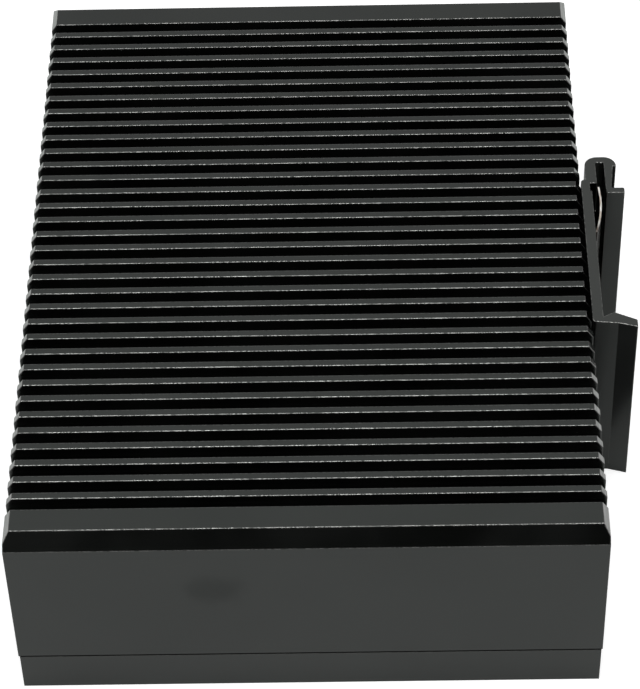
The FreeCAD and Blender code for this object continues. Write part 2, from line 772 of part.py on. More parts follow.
def power_coil(y):
    """Shielded coil: a square case with its corners cut off."""
    body = new_body("power_coil")
    plan = sketch_on(body, "XY_Plane", "board_low")
    side, cut_off = "coil_side / 2", "(coil_side / 2 - coil_edge)"
    corners = [("-", cut_off, "-", side), ("-", side, "-", cut_off), ("-", side, "+", cut_off),
               ("-", cut_off, "+", side), ("+", cut_off, "+", side), ("+", side, "+", cut_off),
               ("+", side, "-", cut_off), ("+", cut_off, "-", side)]
    outline(plan, [("capacitor_x %s %s" % (a, u), "%s %s %s" % (y, b, v)) for a, u, b, v in corners])
    pad(body, plan, "coil_height", backwards=True)
    return node(body, "power_coil")


def board_parts():
    """What stands on the board: the switching chip and its pad above, power parts below."""
    chip = box("chip_block", "chip_x - chip_side / 2", "chip_x + chip_side / 2",
               "-chip_side / 2", "chip_side / 2", "board_top", "board_top + chip_thick")
    node(chip, "switch_chip")
    pad_block = box("pad_block", "chip_x - pad_side / 2", "chip_x + pad_side / 2",
                    "-pad_side / 2", "pad_side / 2", "board_top + chip_thick", "ceiling")
    node(pad_block, "thermal_pad")
    for n in range(port_count):
        transformer(n)
    for n in range(2):
        capacitor(n)
    coil_y = "header_y - 2 * (2 * capacitor_radius + capacitor_gap) - coil_side / 2"
    power_coil(coil_y)
    chip_y = coil_y + " - coil_side"
    regulator = box("regulator", "capacitor_x - regulator_length / 2", "capacitor_x + regulator_length / 2",
                    chip_y + " - regulator_width / 2", chip_y + " + regulator_width / 2",
                    "board_low - regulator_height", "board_low")
    node(regulator, "regulator_chip")
    crystal_y = chip_y + " - coil_side"
    end = "(crystal_length - crystal_width) / 2"
    can = box("crystal_can", "capacitor_x - " + end, "capacitor_x + " + end,
              crystal_y + " - crystal_width / 2", crystal_y + " + crystal_width / 2",
              "board_low - crystal_height", "board_low")
    rounds = [post("crystal_end_%d" % i, "crystal_width / 2", "capacitor_x %s %s" % (side, end), crystal_y,
                   "board_low - crystal_height", "board_low") for i, side in enumerate("-+")]
    node(fuse("crystal", [can] + rounds), "clock_crystal")


# ---- earth screw ----

def earth_screw():
    """Pan head screw with its head away from the port panel, clamping a toothed washer."""
    body = new_body("earth_screw")
    section = sketch_on(body, "XZ_Plane", "-header_y")
    seat = "(-half_depth - washer_thick)"
    corners = [
        ("%s - earth_head_height" % seat, "0"),
        ("%s - earth_head_height" % seat, "earth_head / 2"),
        ("%s - earth_head_height / 2" % seat, "earth_head"),
        (seat, "earth_head"),
        (seat, "earth_radius"),
        (seat + " + earth_length", "earth_radius"),
        (seat + " + earth_length", "0"),
    ]
    bind(section, AttachmentOffset__Base__y="earth_height")
    outline(section, corners)
    turned = body.newObject("PartDesign::Revolution", "earth_screw_turned")
    turned.Profile = section
    turned.ReferenceAxis = (section, ["H_Axis"])
    turned.Angle = 360
    for across, along in (("cross_span", "cross_width"), ("cross_width", "cross_span")):
        recess = sketch_on(body, "YZ_Plane", "%s - earth_head_height" % seat)
        rectangle(recess, "header_y - 2 * %s / 3" % across, "header_y + 2 * %s / 3" % across,
                  "earth_height - 2 * %s / 3" % along, "earth_height + 2 * %s / 3" % along)
        pocket(body, recess, "cross_depth", towards_normal=True)
    return node(body, "earth_screw")


def earth_washer():
    """Lock washer with teeth cut round its rim."""
    body = new_body("earth_washer")
    ring = sketch_on(body, "YZ_Plane", "-half_depth - washer_thick")
    circle(ring, "header_y", "earth_height", "washer_radius")
    circle(ring, "header_y", "earth_height", "earth_radius")
    pad(body, ring, "washer_thick")
    notch = sketch_on(body, "YZ_Plane", "-half_depth - washer_thick")
    bind(notch, AttachmentOffset__Base__x="header_y", AttachmentOffset__Base__y="earth_height")
    outline(notch, [("washer_radius - washer_thick", "0"), ("washer_radius + washer_thick", "-washer_thick"),
                    ("washer_radius + washer_thick", "washer_thick")])
    first = pocket(body, notch, "washer_thick", towards_normal=True)
    teeth = body.newObject("PartDesign::PolarPattern", "washer_teeth")
    teeth.Originals = [first]
    teeth.Axis = (notch, ["N_Axis"])
    teeth.Occurrences = 8
    body.Tip = teeth
    return node(body, "earth_washer")


# ---- the whole switch ----

finned_housing()
base_cover()
end_panel("front_panel", -1, port_windows)
end_panel("back_panel", 1, clip_windows)

panel_screw = flat_head_screw("panel_screw", "screw_length")
corners_yz = [(side + "channel_y", height)
              for side in ("-", "") for height in ("upper_channel", "lower_channel")]
copies("front_panel_screws", panel_screw, [("-half_depth", y, z) for y, z in corners_yz])
copies("back_panel_screws", panel_screw, [("half_depth", y, z) for y, z in corners_yz], turn=180)

din_clip()
leaf_spring()
clip_screw = flat_head_screw("clip_screw", "clip_plate + panel_thick - joint_gap")
copies("clip_screws", clip_screw, [("clip_inner", y, z) for y, z in clip_holes()], turn=180)

circuit_board()
for number in range(port_count):
    port(number)
power_header()
lamp_stack()
board_parts()
earth_screw()
earth_washer()

doc.recompute()
for thing in doc.Objects:
    if "Invalid" in thing.State or "Error" in thing.State:
        raise RuntimeError("%s failed: %s" % (thing.Name, thing.State))
for thing in nodes:
    if thing.Shape.isNull() or not thing.Shape.isValid():
        raise RuntimeError(thing.Label + " has no valid shape")

os.makedirs("parts", exist_ok=True)
for thing in nodes:
    thing.Shape.exportStep("parts/%s.step" % thing.Label)
print(len(nodes), "sub-parts written")
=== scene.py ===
import json
import math

import bpy
from mathutils import Euler, Matrix, Vector


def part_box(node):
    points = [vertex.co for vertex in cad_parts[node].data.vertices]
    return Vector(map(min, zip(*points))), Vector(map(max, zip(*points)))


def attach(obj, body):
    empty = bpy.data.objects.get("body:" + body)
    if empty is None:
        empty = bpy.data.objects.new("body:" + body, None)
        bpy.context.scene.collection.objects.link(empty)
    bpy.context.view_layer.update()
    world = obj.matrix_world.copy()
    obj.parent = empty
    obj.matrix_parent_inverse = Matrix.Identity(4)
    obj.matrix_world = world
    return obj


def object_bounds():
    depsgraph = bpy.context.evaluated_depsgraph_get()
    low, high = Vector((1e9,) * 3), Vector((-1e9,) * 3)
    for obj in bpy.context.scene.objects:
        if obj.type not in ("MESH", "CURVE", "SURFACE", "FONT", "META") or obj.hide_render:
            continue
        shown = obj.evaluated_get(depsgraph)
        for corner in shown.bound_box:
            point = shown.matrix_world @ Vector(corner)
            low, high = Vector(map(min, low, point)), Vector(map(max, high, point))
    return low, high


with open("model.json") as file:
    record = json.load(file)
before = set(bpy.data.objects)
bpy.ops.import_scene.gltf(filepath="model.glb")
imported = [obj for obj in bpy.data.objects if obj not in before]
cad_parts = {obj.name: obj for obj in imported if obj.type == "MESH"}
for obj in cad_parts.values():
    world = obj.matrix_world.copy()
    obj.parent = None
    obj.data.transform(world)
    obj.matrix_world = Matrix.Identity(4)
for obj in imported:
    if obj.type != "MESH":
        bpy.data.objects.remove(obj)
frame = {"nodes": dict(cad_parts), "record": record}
cad_low, cad_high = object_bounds()
nodes = frame["nodes"]
MM = 0.001

# ---- Finned housing ----
# An extruded aluminium channel with a row of fins on its roof, etched to a fine satin and then
# anodised black. The ends of the fins are milled to a slope afterwards, so bare metal shows there.

ANODISED_BLACK = (0.0018, 0.0020, 0.0018, 1)
DUSTY_BLACK = (0.0050, 0.0054, 0.0050, 1)
# bare metal of worn corners, and the painted glint on upper corners that face -Y
BARE_EDGE_AND_GLINT = (0.30, 0.30, 0.29, 1)
DUST_GREY = (0.16, 0.16, 0.15, 1)
OXIDE_TINT = (0.92, 1.0, 0.95, 1)
ANODISED_ROUGHNESS = 0.2
ANODISED_EDGE = 0.2 * MM
ETCH_DEPTH = 0.002 * MM
ETCH_GRAIN = (0.25 * MM, 0.18 * MM, 0.18 * MM)
CLOUD_SPREAD = (18.0 * MM, 18.0 * MM, 18.0 * MM)
BURR_BEAD = (0.18 * MM, 0.4 * MM, 0.4 * MM)
WORN_PATCH = (9.0 * MM, 12.0 * MM, 12.0 * MM)
SPECKS_PER_METRE = 110.0
SPECK_CORE = 0.012
SPECK_RIM = 0.03
BARE_CELLS = 0.92


def new_group(name, inputs, outputs):
    """An empty node group with named inputs, each with its default, and named outputs."""
    group = bpy.data.node_groups.new(name, "ShaderNodeTree")
    for label, kind, default in inputs:
        socket = group.interface.new_socket(label, in_out="INPUT", socket_type=kind)
        socket.default_value = default
    for label, kind in outputs:
        group.interface.new_socket(label, in_out="OUTPUT", socket_type=kind)
    return group, group.nodes.new("NodeGroupInput"), group.nodes.new("NodeGroupOutput")


def wire(tree, source, target):
    tree.links.new(source, target)


def maths(tree, operation, first, second=0.5, clamp=False):
    """A Math node whose two inputs are sockets or plain numbers."""
    math_node = tree.nodes.new("ShaderNodeMath")
    math_node.operation = operation
    math_node.use_clamp = clamp
    for socket, given in zip(math_node.inputs, (first, second)):
        if isinstance(given, (int, float)):
            socket.default_value = given
        else:
            wire(tree, given, socket)
    return math_node.outputs[0]


def ramp(tree, source, low, high, start=0.0, end=1.0):
    """A smooth step of a value from one level to another."""
    step = tree.nodes.new("ShaderNodeMapRange")
    step.interpolation_type = "SMOOTHSTEP"
    wire(tree, source, step.inputs["Value"])
    step.inputs["From Min"].default_value = low
    step.inputs["From Max"].default_value = high
    step.inputs["To Min"].default_value = start
    step.inputs["To Max"].default_value = end
    return step.outputs["Result"]


def stretched_noise(tree, spacing, detail=2.0, roughness=0.5):
    """Noise on object coordinates, with its own grain size in metres along each axis."""
    place = tree.nodes.new("ShaderNodeTexCoord")
    mapping = tree.nodes.new("ShaderNodeMapping")
    mapping.inputs["Scale"].default_value = [1 / length for length in spacing]
    noise = tree.nodes.new("ShaderNodeTexNoise")
    noise.inputs["Scale"].default_value = 1.0
    noise.inputs["Detail"].default_value = detail
    noise.inputs["Roughness"].default_value = roughness
    wire(tree, place.outputs["Object"], mapping.inputs["Vector"])
    wire(tree, mapping.outputs["Vector"], noise.inputs["Vector"])
    return noise.outputs["Fac"]


def mixed_colour(tree, factor, first, second):
    """A colour between two, each a socket or a plain colour."""
    mix = tree.nodes.new("ShaderNodeMix")
    mix.data_type = "RGBA"
    wire(tree, factor, mix.inputs["Factor"])
    for socket, given in ((mix.inputs["A"], first), (mix.inputs["B"], second)):
        if isinstance(given, tuple):
            socket.default_value = given
        else:
            wire(tree, given, socket)
    return mix.outputs["Result"]


# Worn edge: finds the corners of a piece and breaks the line up into beads. Upper corners that face -Y
# keep the whole line as a painted glint, and Back is how much of the line all others keep.
edge_wear_and_glint, wear_in, wear_out = new_group(
    "edge_wear_and_glint",
    [("Radius", "NodeSocketFloat", 0.1 * MM), ("Amount", "NodeSocketFloat", 1.0),
     ("Back", "NodeSocketFloat", 1.0)],
    [("Mask", "NodeSocketFloat"), ("Normal", "NodeSocketVector")])
rounding = edge_wear_and_glint.nodes.new("ShaderNodeBevel")
rounding.samples = 8
wire(edge_wear_and_glint, wear_in.outputs["Radius"], rounding.inputs["Radius"])
flat_face = edge_wear_and_glint.nodes.new("ShaderNodeNewGeometry")
turned = edge_wear_and_glint.nodes.new("ShaderNodeVectorMath")
turned.operation = "DOT_PRODUCT"
wire(edge_wear_and_glint, rounding.outputs["Normal"], turned.inputs[0])
wire(edge_wear_and_glint, flat_face.outputs["Normal"], turned.inputs[1])
corner = ramp(edge_wear_and_glint, maths(edge_wear_and_glint, "SUBTRACT", 1.0, turned.outputs["Value"]), 0.0012, 0.008)
beads = ramp(edge_wear_and_glint, stretched_noise(edge_wear_and_glint, BURR_BEAD, 1.0), 0.42, 0.55, 0.15, 1.0)
patches = ramp(edge_wear_and_glint, stretched_noise(edge_wear_and_glint, WORN_PATCH, 1.0), 0.3, 0.65, 0.75, 1.0)
worn = maths(edge_wear_and_glint, "MULTIPLY", maths(edge_wear_and_glint, "MULTIPLY", corner, beads), patches)
leaning = edge_wear_and_glint.nodes.new("ShaderNodeSeparateXYZ")
wire(edge_wear_and_glint, rounding.outputs["Normal"], leaning.inputs["Vector"])
# painted glint: corners whose rounded normal leans to -Y and up keep the full bright line
in_front = ramp(edge_wear_and_glint, leaning.outputs["Y"], -0.22, -0.05, 1.0, 0.0)
glint_side = maths(edge_wear_and_glint, "MULTIPLY", in_front, ramp(edge_wear_and_glint, leaning.outputs["Z"], 0.4, 0.62))
off_glint_side = maths(edge_wear_and_glint, "SUBTRACT", 1.0, glint_side)
kept = maths(edge_wear_and_glint, "ADD", glint_side, maths(edge_wear_and_glint, "MULTIPLY", off_glint_side, wear_in.outputs["Back"]))
worn = maths(edge_wear_and_glint, "MULTIPLY", worn, kept)
wire(edge_wear_and_glint, maths(edge_wear_and_glint, "MULTIPLY", worn, wear_in.outputs["Amount"], True), wear_out.inputs["Mask"])
wire(edge_wear_and_glint, rounding.outputs["Normal"], wear_out.inputs["Normal"])

# Satin: the fine etched grain of the metal, with faint cloudy patches and a few specks of dust.
satin, satin_in, satin_out = new_group(
    "satin_grain",
    [("Grain", "NodeSocketFloat", 0.1)],
    [("Cloud", "NodeSocketFloat"), ("Height", "NodeSocketFloat"), ("Dust", "NodeSocketFloat")])
cloud = ramp(satin, stretched_noise(satin, CLOUD_SPREAD, 2.0), 0.3, 0.7)
wire(satin, cloud, satin_out.inputs["Cloud"])
fine = stretched_noise(satin, ETCH_GRAIN, 2.0)
wire(satin, maths(satin, "MULTIPLY", fine, satin_in.outputs["Grain"]), satin_out.inputs["Height"])
speck_place = satin.nodes.new("ShaderNodeTexCoord")
specks = satin.nodes.new("ShaderNodeTexVoronoi")
specks.inputs["Scale"].default_value = SPECKS_PER_METRE
wire(satin, speck_place.outputs["Object"], specks.inputs["Vector"])
near_speck = ramp(satin, specks.outputs["Distance"], SPECK_CORE, SPECK_RIM, 1.0, 0.0)
pick = satin.nodes.new("ShaderNodeSeparateColor")
wire(satin, specks.outputs["Color"], pick.inputs["Color"])
chosen = maths(satin, "GREATER_THAN", pick.outputs["Red"], BARE_CELLS)
wire(satin, maths(satin, "MULTIPLY", near_speck, chosen), satin_out.inputs["Dust"])


def grouped(material, group, **values):
    """Place a node group in a material and set its inputs."""
    placed = material.node_tree.nodes.new("ShaderNodeGroup")
    placed.node_tree = group
    for label, given in values.items():
        placed.inputs[label].default_value = given
    return placed


def new_material(name, roughness, metallic=0.0):
    """A material with its own Principled shader; returns material, tree and shader."""
    material = bpy.data.materials.new(name)
    material.use_nodes = True
    tree = material.node_tree
    shader = tree.nodes["Principled BSDF"]
    shader.inputs["Roughness"].default_value = roughness
    shader.inputs["Metallic"].default_value = metallic
    return material, tree, shader


def bumped(tree, shader, height, distance, normal=None):
    """Feed a height to the shader's normal, on top of a rounded normal where one is given."""
    bump = tree.nodes.new("ShaderNodeBump")
    bump.inputs["Strength"].default_value = 1.0
    bump.inputs["Distance"].default_value = distance
    wire(tree, height, bump.inputs["Height"])
    if normal is not None:
        wire(tree, normal, bump.inputs["Normal"])
    wire(tree, bump.outputs["Normal"], shader.inputs["Normal"])


def anodised(name, wear, back=1.0, edge_radius=ANODISED_EDGE, roughness=ANODISED_ROUGHNESS):
    """Black anodised aluminium: near black, dusty in places, bright along its worn corners, with a painted
    glint on upper corners that face -Y.
    """
    material, tree, shader = new_material(name, roughness)
    shader.inputs["Specular Tint"].default_value = OXIDE_TINT
    skin = grouped(material, satin, Grain=0.4)
    corners = grouped(material, edge_wear_and_glint, Radius=edge_radius, Amount=wear, Back=back)
    shade = mixed_colour(tree, skin.outputs["Cloud"], ANODISED_BLACK, DUSTY_BLACK)
    dusty = mixed_colour(tree, skin.outputs["Dust"], shade, DUST_GREY)
    worn_and_glint_colour = mixed_colour(tree, corners.outputs["Mask"], dusty, BARE_EDGE_AND_GLINT)
    wire(tree, worn_and_glint_colour, shader.inputs["Base Color"])
    wire(tree, corners.outputs["Mask"], shader.inputs["Metallic"])
    wire(tree, ramp(tree, skin.outputs["Cloud"], 0.0, 1.0, roughness - 0.02, roughness + 0.03),
         shader.inputs["Roughness"])
    bumped(tree, shader, skin.outputs["Height"], ETCH_DEPTH, corners.outputs["Normal"])
    return material, tree, shader, corners


def axes_of(tree, coordinates):
    """The three parts of a texture coordinate: the place on a piece, or the way its face looks."""
    source = tree.nodes.new("ShaderNodeTexCoord")
    parts = tree.nodes.new("ShaderNodeSeparateXYZ")
    wire(tree, source.outputs[coordinates], parts.inputs["Vector"])
    return parts.outputs


def give(material, *names):
    """Put a finish on CAD nodes."""
    for name in names:
        slots = nodes[name].data.materials
        slots.clear()
        slots.append(material)


HOUSING_EDGE = 0.25 * MM
MILL_LINES = (0.4 * MM, 4.0 * MM, 0.15 * MM)
MILLED_DULL = (0.20, 0.185, 0.19, 1)
MILLED_BRIGHT = (0.36, 0.335, 0.345, 1)

# Back 0.2 keeps most of the painted glint on the upper corners that face -Y.
housing_skin, tree, shader, corners = anodised("housing_anodised", 1.0, 0.2, HOUSING_EDGE)
turned_to = axes_of(tree, "Normal")
sideways = maths(tree, "ABSOLUTE", turned_to["X"])
sloped = maths(tree, "MULTIPLY", maths(tree, "GREATER_THAN", sideways, 0.6),
               maths(tree, "GREATER_THAN", turned_to["Z"], 0.3))
mill_lines = ramp(tree, stretched_noise(tree, MILL_LINES, 2.0), 0.3, 0.7)
milled = mixed_colour(tree, mill_lines, MILLED_DULL, MILLED_BRIGHT)
plain_colour = shader.inputs["Base Color"].links[0].from_socket
wire(tree, mixed_colour(tree, sloped, plain_colour, milled), shader.inputs["Base Color"])

# A faint finger mark dulls the lower side wall, left of its middle.
MARK_CENTRE = (-14.0 * MM, cad_low.y, 24.0 * MM)
MARK_REACH = (6.5 * MM, 2.0 * MM, 5.0 * MM)
MARK_RAGGED = (4.0 * MM, 4.0 * MM, 4.0 * MM)
MARK_DULLING = 0.2
marked_place = tree.nodes.new("ShaderNodeTexCoord")
from_mark = tree.nodes.new("ShaderNodeMapping")
from_mark.inputs["Scale"].default_value = [1 / reach for reach in MARK_REACH]
from_mark.inputs["Location"].default_value = [-at / reach for at, reach in zip(MARK_CENTRE, MARK_REACH)]
wire(tree, marked_place.outputs["Object"], from_mark.inputs["Vector"])
away = tree.nodes.new("ShaderNodeVectorMath")
away.operation = "LENGTH"
wire(tree, from_mark.outputs["Vector"], away.inputs[0])
ragged = maths(tree, "ADD", away.outputs["Value"], stretched_noise(tree, MARK_RAGGED, 3.0))
finger_mark = ramp(tree, ragged, 0.7, 1.5, MARK_DULLING, 0.0)
bare = maths(tree, "MAXIMUM", sloped, corners.outputs["Mask"])
wire(tree, maths(tree, "MAXIMUM", bare, finger_mark), shader.inputs["Metallic"])
give(housing_skin, "finned_housing")

# ---- Base cover ----
# The shallow extrusion that closes the housing from below, anodised in the same bath. A thin black
# strip along the line between the two is painted shade for the dark seam.

SEAM_SHADE_HEIGHT = 0.24 * MM
SEAM_SHADE_PROUD = 0.015 * MM
SEAM_SHADE_SIDES = 16
SEAM_SHADE_GRAIN = (0.3 * MM, 0.3 * MM, 0.1 * MM)
SEAM_SHADE_DARK = (0.002, 0.002, 0.002, 1)
SEAM_SHADE_MOTTLE = (0.006, 0.006, 0.006, 1)
CUT_EXACTNESS = 0.001 * MM

cover_skin = anodised("cover_anodised", 0.3)[0]
give(cover_skin, "base_cover")

# painted shade: a matte black strip along the seam
seam_shade_black, tree, shader = new_material("seam_shade_black", 0.9)
shader.inputs["Specular IOR Level"].default_value = 0.05
shade_strip_grain = stretched_noise(tree, SEAM_SHADE_GRAIN, 3.0)
shade_strip_colour = mixed_colour(tree, ramp(tree, shade_strip_grain, 0.35, 0.7), SEAM_SHADE_DARK, SEAM_SHADE_MOTTLE)
wire(tree, shade_strip_colour, shader.inputs["Base Color"])
bumped(tree, shader, shade_strip_grain, 0.01 * MM)


def bare_primitive(add, **sizes):
    """Add a primitive with nothing else selected, and put its place into its mesh."""
    bpy.ops.object.select_all(action="DESELECT")
    add(**sizes)
    bpy.ops.object.transform_apply(location=True, rotation=True, scale=True)
    return bpy.context.object


def cut_off(plane_point, plane_normal, fill):
    """Cut the active piece along a plane and keep what lies in front of it."""
    bpy.ops.object.mode_set(mode="EDIT")
    bpy.ops.mesh.select_all(action="SELECT")
    bpy.ops.mesh.bisect(plane_co=plane_point, plane_no=plane_normal, use_fill=fill, clear_inner=True,
                        threshold=CUT_EXACTNESS)
    bpy.ops.mesh.select_all(action="SELECT")


def finished(piece, name, material):
    """Name a piece of the scene, and give it its finish and the body it rides on."""
    piece.name = name
    piece.data.name = name
    piece.data.materials.clear()
    piece.data.materials.append(material)
    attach(piece, "root")


# Painted shade for the seam between the two extrusions: a dark line along both long sides, made
# as a round black cord, cut flat where it meets the tongue joint and squashed until it hardly stands proud.
cover_low, cover_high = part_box("base_cover")
housing_low, housing_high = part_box("finned_housing")
for side, name in ((-1, "lower_seam_shade"), (1, "upper_seam_shade")):
    wall = (0, side * housing_high.y, housing_low.z)
    shade_strip = bare_primitive(bpy.ops.mesh.primitive_cylinder_add, vertices=SEAM_SHADE_SIDES, radius=SEAM_SHADE_HEIGHT / 2,
                          depth=cover_high.x - cover_low.x, rotation=(0, math.pi / 2, 0),
                          location=((cover_low.x + cover_high.x) / 2, wall[1], wall[2]))
    cut_off(wall, (0, side, 0), True)
    bpy.ops.transform.resize(value=(1, 2 * SEAM_SHADE_PROUD / SEAM_SHADE_HEIGHT, 1), center_override=wall)
    bpy.ops.mesh.normals_make_consistent(inside=False)
    bpy.ops.object.mode_set(mode="OBJECT")
    finished(shade_strip, name, seam_shade_black)

# ---- End panels ----
# Flat sheet plates let into both ends of the extrusions, sawn, punched and anodised black. They hold
# the two extrusions together and trap the circuit board between them.

PANEL_EDGE = 0.08 * MM
panel_skin = anodised("panel_anodised", 0.25, 1.0, PANEL_EDGE, 0.3)[0]
give(panel_skin, "front_panel", "back_panel")

# ---- Panel screws ----
# Countersunk cross recess screws in black oxide steel, four at each end. They cut their own thread in
# the screw channels of the extrusions.

BLACK_OXIDE = (0.018, 0.018, 0.02, 1)
BARE_STEEL = (0.4, 0.4, 0.41, 1)
OXIDE_GRAIN = (0.3 * MM, 0.3 * MM, 0.3 * MM)

screw_black, tree, shader = new_material("black_oxide_steel", 0.35, 0.6)
corners = grouped(screw_black, edge_wear_and_glint, Radius=0.08 * MM, Amount=0.7)
wire(tree, mixed_colour(tree, corners.outputs["Mask"], BLACK_OXIDE, BARE_STEEL), shader.inputs["Base Color"])
bumped(tree, shader, stretched_noise(tree, OXIDE_GRAIN), 0.004 * MM, corners.outputs["Normal"])
give(screw_black, "front_panel_screws", "back_panel_screws")

# ---- Rail clip ----
# One slice of an extrusion as wide as the casing, anodised black, screwed flat on the rear panel.
# Its end faces are painted a lighter black, a painted sheen, and painted shade darkens its slot.

END_SHEEN_BLACK = (0.0155, 0.0155, 0.0147, 1)
SLOT_SHADE = (0.01, 0.01, 0.009, 1)
SLOT_REACH = 4.0 * MM

clip_skin, tree, shader, corners = anodised("clip_anodised", 1.0, 0.85)
# painted shade: where ambient occlusion is low the slot is darkened, in colour and in metallic
hollow = tree.nodes.new("ShaderNodeAmbientOcclusion")
hollow.samples = 8
hollow.inputs["Distance"].default_value = SLOT_REACH
slot_shade = ramp(tree, hollow.outputs["AO"], 0.25, 0.6, 1.0, 0.0)
# painted sheen: faces along Z get a lighter black
sheen_end_faces = maths(tree, "GREATER_THAN", maths(tree, "ABSOLUTE", axes_of(tree, "Normal")["Z"]), 0.7)
unworn = maths(tree, "MULTIPLY", sheen_end_faces, maths(tree, "SUBTRACT", 1.0, corners.outputs["Mask"]))
plain_colour = shader.inputs["Base Color"].links[0].from_socket
end_sheen_colour = mixed_colour(tree, unworn, plain_colour, END_SHEEN_BLACK)
wire(tree, mixed_colour(tree, slot_shade, end_sheen_colour, SLOT_SHADE), shader.inputs["Base Color"])
wire(tree, maths(tree, "MAXIMUM", slot_shade, corners.outputs["Mask"]), shader.inputs["Metallic"])
give(clip_skin, "din_clip")

# ---- Clip spring and screws ----
# A bent strip of tempered spring steel, bright where it was sheared off; the brown on its faces is a
# painted warm reflection, and painted shade darkens its lower end. Two zinc plated screws hold the clip
# beside it.

ROLLED_GRAIN = (0.4 * MM, 2.4 * MM, 6.0 * MM)
SHEARED_DULL = (0.48, 0.42, 0.36, 1)
SHEARED_BRIGHT = (0.92, 0.90, 0.87, 1)
LOWER_END_SHADE = (0.06, 0.045, 0.035, 1)
WARM_REFLECTION_DARK = (0.048, 0.031, 0.022, 1)
WARM_REFLECTION_LIGHT = (0.062, 0.042, 0.030, 1)
ZINC_GREY = (0.52, 0.53, 0.56, 1)
ZINC_PALE = (0.60, 0.60, 0.60, 1)
ZINC_CRYSTAL = (0.6 * MM, 0.6 * MM, 0.6 * MM)

spring_steel, tree, shader = new_material("spring_steel", 0.16, 1.0)
rolled = stretched_noise(tree, ROLLED_GRAIN, 2.0)
sheared = mixed_colour(tree, ramp(tree, rolled, 0.35, 0.65), SHEARED_DULL, SHEARED_BRIGHT)
strip_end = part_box("clip_leaf_spring")[0].y
# painted shade: the sheared edge darkens towards the strip's lower end
lower_end_shade = ramp(tree, axes_of(tree, "Object")["Y"], strip_end + 0.3 * MM, strip_end + 4.0 * MM, 0.85, 0.0)
sheared = mixed_colour(tree, lower_end_shade, sheared, LOWER_END_SHADE)
# painted reflection: the strip's faces are coloured brown
warm_reflection = mixed_colour(tree, ramp(tree, rolled, 0.3, 0.7), WARM_REFLECTION_DARK, WARM_REFLECTION_LIGHT)
cut_face = maths(tree, "GREATER_THAN", maths(tree, "ABSOLUTE", axes_of(tree, "Normal")["Z"]), 0.7)
wire(tree, mixed_colour(tree, cut_face, warm_reflection, sheared), shader.inputs["Base Color"])
bumped(tree, shader, rolled, 0.004 * MM)
give(spring_steel, "clip_leaf_spring")

zinc, tree, shader = new_material("zinc_plate", 0.3, 1.0)
corners = grouped(zinc, edge_wear_and_glint, Radius=0.1 * MM, Amount=0.3)
crystals = stretched_noise(tree, ZINC_CRYSTAL, 3.0)
plated = mixed_colour(tree, ramp(tree, crystals, 0.3, 0.7), ZINC_GREY, ZINC_PALE)
wire(tree, plated, shader.inputs["Base Color"])
wire(tree, ramp(tree, crystals, 0.2, 0.8, 0.26, 0.36), shader.inputs["Roughness"])
bumped(tree, shader, crystals, 0.003 * MM, corners.outputs["Normal"])
give(zinc, "clip_screws", "earth_screw", "earth_washer")

# ---- Circuit board and the parts on it ----
# A board of green glass epoxy, slid into the housing's card guides. On it sit resin chips, sleeved
# cans, a ferrite coil and a metal crystal can, and a soft pad takes the main chip's heat to the roof.


def mottled(name, dark, light, spacing, roughness, metallic=0.0, height=0.004 * MM, edge=0.1 * MM):
    """A finish that runs between two shades, with matching roughness and relief."""
    material, tree, shader = new_material(name, roughness, metallic)
    speckle = stretched_noise(tree, (spacing, spacing, spacing), 3.0)
    wire(tree, mixed_colour(tree, ramp(tree, speckle, 0.3, 0.7), dark, light), shader.inputs["Base Color"])
    wire(tree, ramp(tree, speckle, 0.2, 0.8, roughness - 0.05, roughness + 0.08), shader.inputs["Roughness"])
    rounded = grouped(material, edge_wear_and_glint, Radius=edge, Amount=0.0)
    bumped(tree, shader, speckle, height, rounded.outputs["Normal"])
    return material


port_numbers = range(1, 6)
give(mottled("board_mask", dark=(0.004, 0.06, 0.02, 1), light=(0.01, 0.13, 0.045, 1),
             spacing=1.2 * MM, roughness=0.35), "circuit_board")
give(mottled("chip_resin", dark=(0.012, 0.012, 0.012, 1), light=(0.022, 0.022, 0.022, 1),
             spacing=0.2 * MM, roughness=0.55),
     "switch_chip", "regulator_chip", *["transformer_%d" % n for n in port_numbers])
give(mottled("pad_silicone", dark=(0.30, 0.33, 0.38, 1), light=(0.36, 0.39, 0.44, 1),
             spacing=0.8 * MM, roughness=0.7), "thermal_pad")
give(mottled("can_sleeve", dark=(0.01, 0.01, 0.02, 1), light=(0.02, 0.02, 0.035, 1),
             spacing=2.0 * MM, roughness=0.3), "capacitor_1", "capacitor_2")
give(mottled("ferrite", dark=(0.02, 0.02, 0.02, 1), light=(0.05, 0.05, 0.05, 1),
             spacing=0.3 * MM, roughness=0.6), "power_coil")
give(mottled("crystal_can", dark=(0.6, 0.59, 0.56, 1), light=(0.7, 0.69, 0.66, 1),
             spacing=0.6 * MM, roughness=0.25, metallic=1.0), "clock_crystal")

# ---- Sockets ----
# Five shielded sockets soldered to the edge of the board: each is a folded, nickel plated shell round
# a black moulding with gold contacts and two light guides.

shield_metal = mottled("nickel_shield", dark=(0.56, 0.54, 0.50, 1), light=(0.68, 0.66, 0.62, 1),
                       spacing=2.5 * MM, roughness=0.24, metallic=1.0, height=0.002 * MM)
give(shield_metal, *["port_%d_shield" % n for n in port_numbers])
give(mottled("black_moulding", dark=(0.014, 0.014, 0.015, 1), light=(0.022, 0.022, 0.023, 1),
             spacing=0.25 * MM, roughness=0.4), "lamp_holder", *["port_%d_body" % n for n in port_numbers])
give(mottled("gold_contact", dark=(0.75, 0.50, 0.16, 1), light=(0.86, 0.62, 0.24, 1),
             spacing=0.8 * MM, roughness=0.2, metallic=1.0, height=0.001 * MM, edge=0.05 * MM),
     *["port_%d_contacts" % n for n in port_numbers])
give(mottled("port_lamp", dark=(0.20, 0.34, 0.08, 1), light=(0.26, 0.42, 0.12, 1),
             spacing=1.0 * MM, roughness=0.25), *["port_%d_lamps" % n for n in port_numbers])

